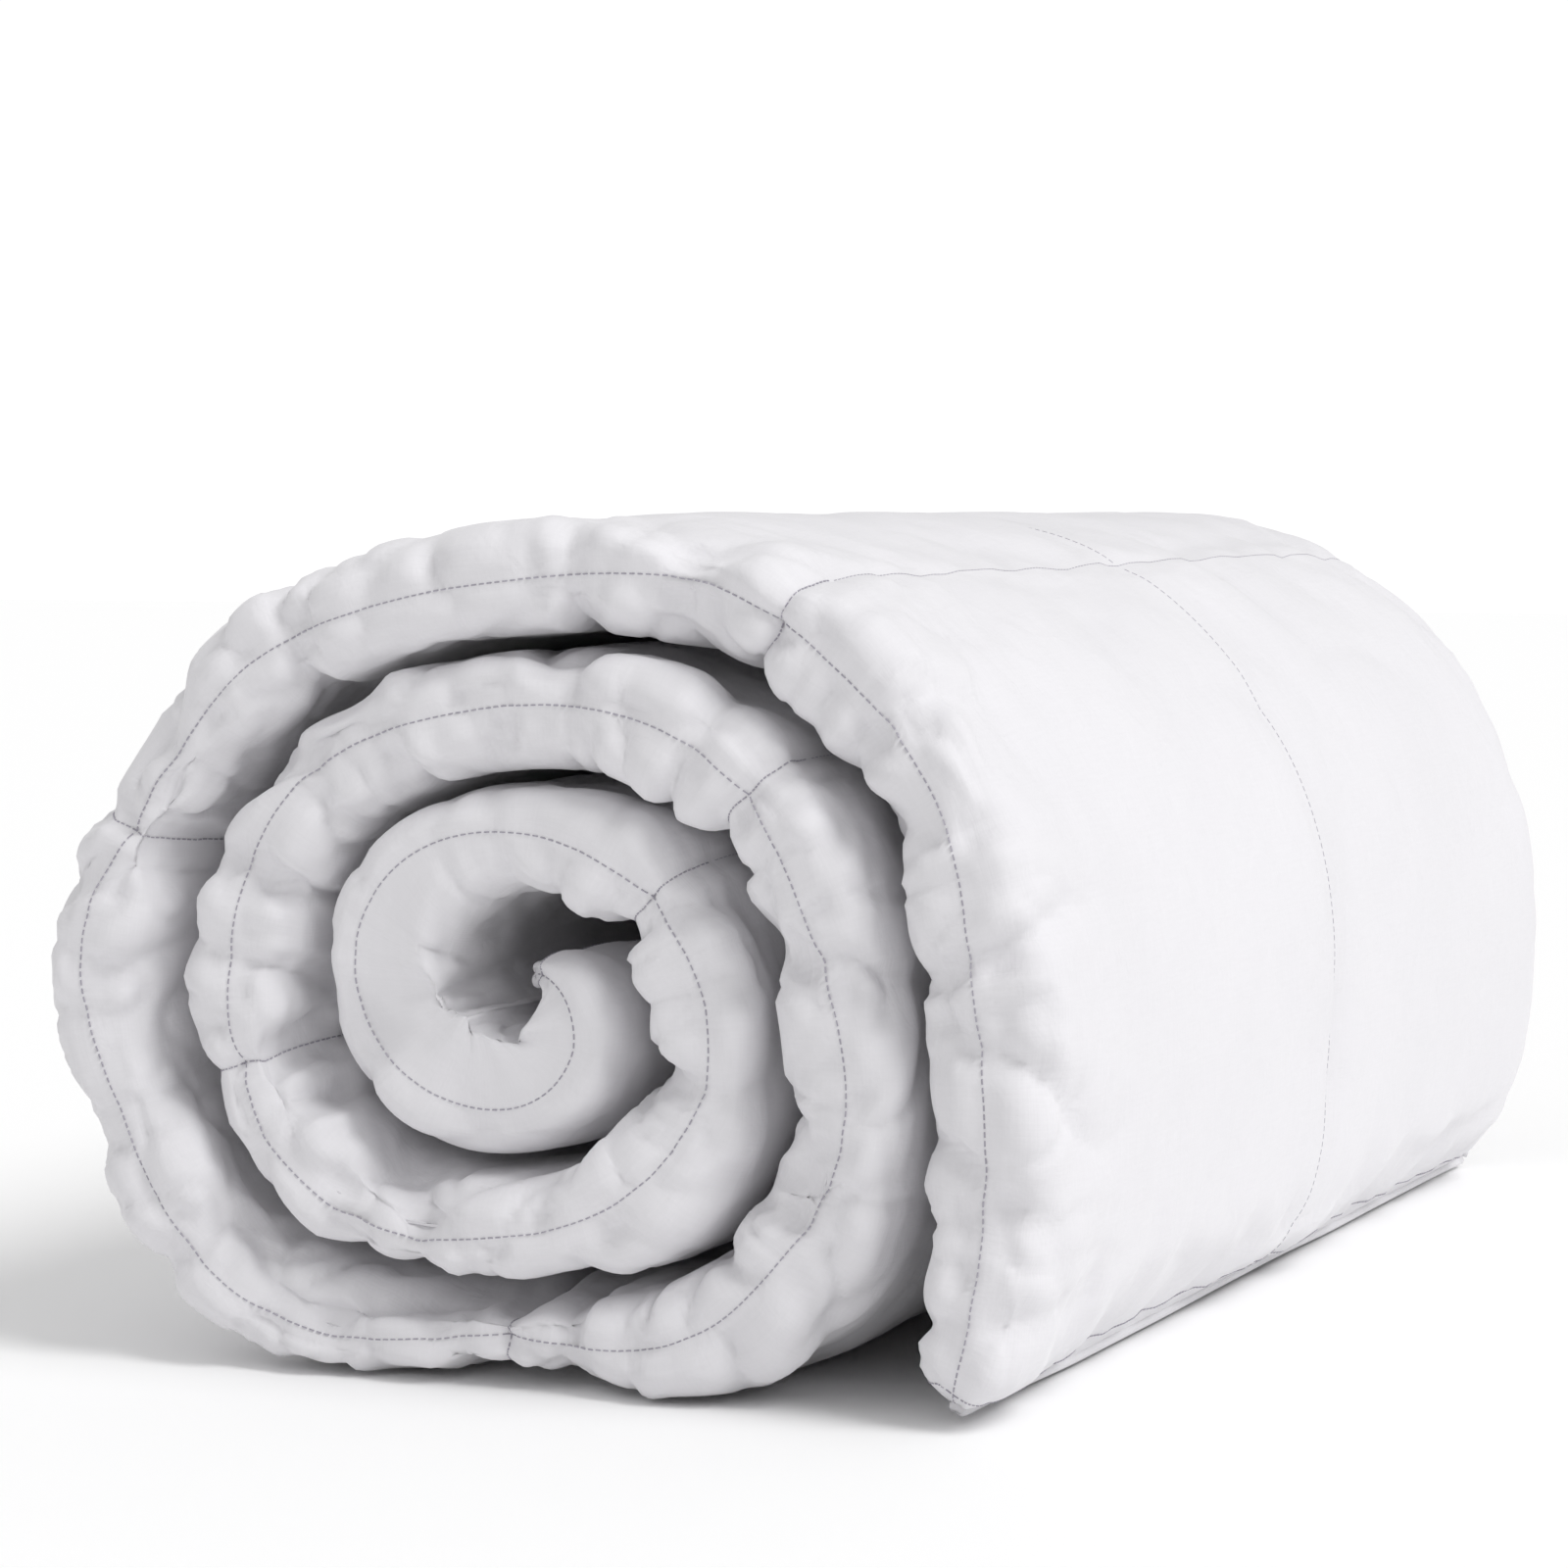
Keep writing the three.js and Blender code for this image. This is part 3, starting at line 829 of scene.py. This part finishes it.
def sewing_thread():
    material = bpy.data.materials.new("grey_thread")
    material.use_nodes = True
    nodes, links = material.node_tree.nodes, material.node_tree.links
    shader = nodes["Principled BSDF"]
    shader.inputs["Roughness"].default_value = 0.6
    where = nodes.new("ShaderNodeTexCoord")
    noise = nodes.new("ShaderNodeTexNoise")
    noise.inputs["Scale"].default_value = 900.0
    links.new(where.outputs["Object"], noise.inputs["Vector"])
    shade = nodes.new("ShaderNodeMix")
    shade.data_type = "RGBA"
    shade.inputs["A"].default_value = (0.26, 0.25, 0.29, 1)
    shade.inputs["B"].default_value = (0.46, 0.44, 0.50, 1)
    links.new(noise.outputs["Fac"], shade.inputs["Factor"])
    links.new(shade.outputs["Result"], shader.inputs["Base Color"])
    twist = nodes.new("ShaderNodeBump")
    twist.inputs["Distance"].default_value = 0.0002
    twist.inputs["Strength"].default_value = 0.5
    links.new(noise.outputs["Fac"], twist.inputs["Height"])
    links.new(twist.outputs["Normal"], shader.inputs["Normal"])
    return material


thread = sewing_thread()
for piece in threads.values():
    piece.data.materials.append(thread)
print(thread.name, "on", list(threads))

# %% [markdown]
# ## Floor and light
# The duvet lies on a white floor in very soft, bright studio light. White surroundings
# light it from everywhere; one broad sun, halfway up on the side of the free end, adds
# just enough direction for the puckers on the end of the roll to show. The surroundings are
# a little brighter to the eye than to the cloth, so that white cloth stands out from
# a whiter background.

# %% Floor, lights and world
floor_mesh = bpy.data.meshes.new("studio_floor")
reach = 12.0
floor_mesh.from_pydata([(-reach, -reach, 0), (reach, -reach, 0), (reach, reach, 0), (-reach, reach, 0)],
                       [], [(0, 1, 2, 3)])
floor = bpy.data.objects.new("studio_floor", floor_mesh)
floor.location = (0, 0, -0.0006)
bpy.context.collection.objects.link(floor)
floor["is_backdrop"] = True
floor_paint = bpy.data.materials.new("studio_white")
floor_paint.use_nodes = True
floor_shader = floor_paint.node_tree.nodes["Principled BSDF"]
floor_shader.inputs["Base Color"].default_value = (0.97, 0.97, 0.97, 1)
floor_shader.inputs["Roughness"].default_value = 0.9
floor_mesh.materials.append(floor_paint)


sun = bpy.data.lights.new("window_side", "SUN")
sun.energy = 1.7
sun.angle = math.radians(28)
sun_light = bpy.data.objects.new("window_side", sun)
sun_light.rotation_euler = Vector((1.0, -0.18, 1.1)).to_track_quat("Z", "Y").to_euler()
bpy.context.collection.objects.link(sun_light)

world = bpy.data.worlds.new("white_studio")
world.use_nodes = True
world.node_tree.nodes["Background"].inputs["Color"].default_value = (1, 1, 1, 1)
seen_or_lit = world.node_tree.nodes.new("ShaderNodeLightPath")
strength = world.node_tree.nodes.new("ShaderNodeMapRange")
strength.inputs["To Min"].default_value = 0.65
strength.inputs["To Max"].default_value = 1.05
world.node_tree.links.new(seen_or_lit.outputs["Is Camera Ray"], strength.inputs["Value"])
world.node_tree.links.new(strength.outputs["Result"],
                          world.node_tree.nodes["Background"].inputs["Strength"])
bpy.context.scene.world = world
bpy.context.scene.view_settings.view_transform = "Standard"
print("floor, one sun and a white world")

# %% [markdown]
# ## Which body each piece moves with
# The roll's pieces move with the roll. The free end turns up about the first row seam; its
# cover, stitches and piping are attached to no body and keep their place in the world.

# %% The CAD parts of each row, and where the first row seam lies
nodes = list(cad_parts)


def nodes_of_rows(first, last):
    return [n for n in nodes if any(f"fill_row{r + 1}_" in n for r in range(first, last))]


seam = stations(np.array([ROW]))

# %% Bodies, replaced solids and soft pieces
for name, (first, last, body) in PIECES.items():
    piece = covers[name]
    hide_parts(*nodes_of_rows(first, last))
    if body == "roll":
        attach(piece, "roll")
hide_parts("face_panel_flap", "back_panel_flap")
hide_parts("face_panel_roll", "back_panel_roll")
for name, piece in {**pipings, **threads}.items():
    if not name.endswith("free_end"):
        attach(piece, "roll")
for piece in [covers["free_end_cover"], threads["stitches_free_end"],
              *[pipings[name] for name in pipings if name.endswith("free_end")]]:
    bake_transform(piece)
for leaf in ("outer", "inner"):
    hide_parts(f"edge_cord_{leaf}_flap")
    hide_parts(f"edge_cord_{leaf}_roll")
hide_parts("hem_cord_flap")
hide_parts("hem_cord_core")
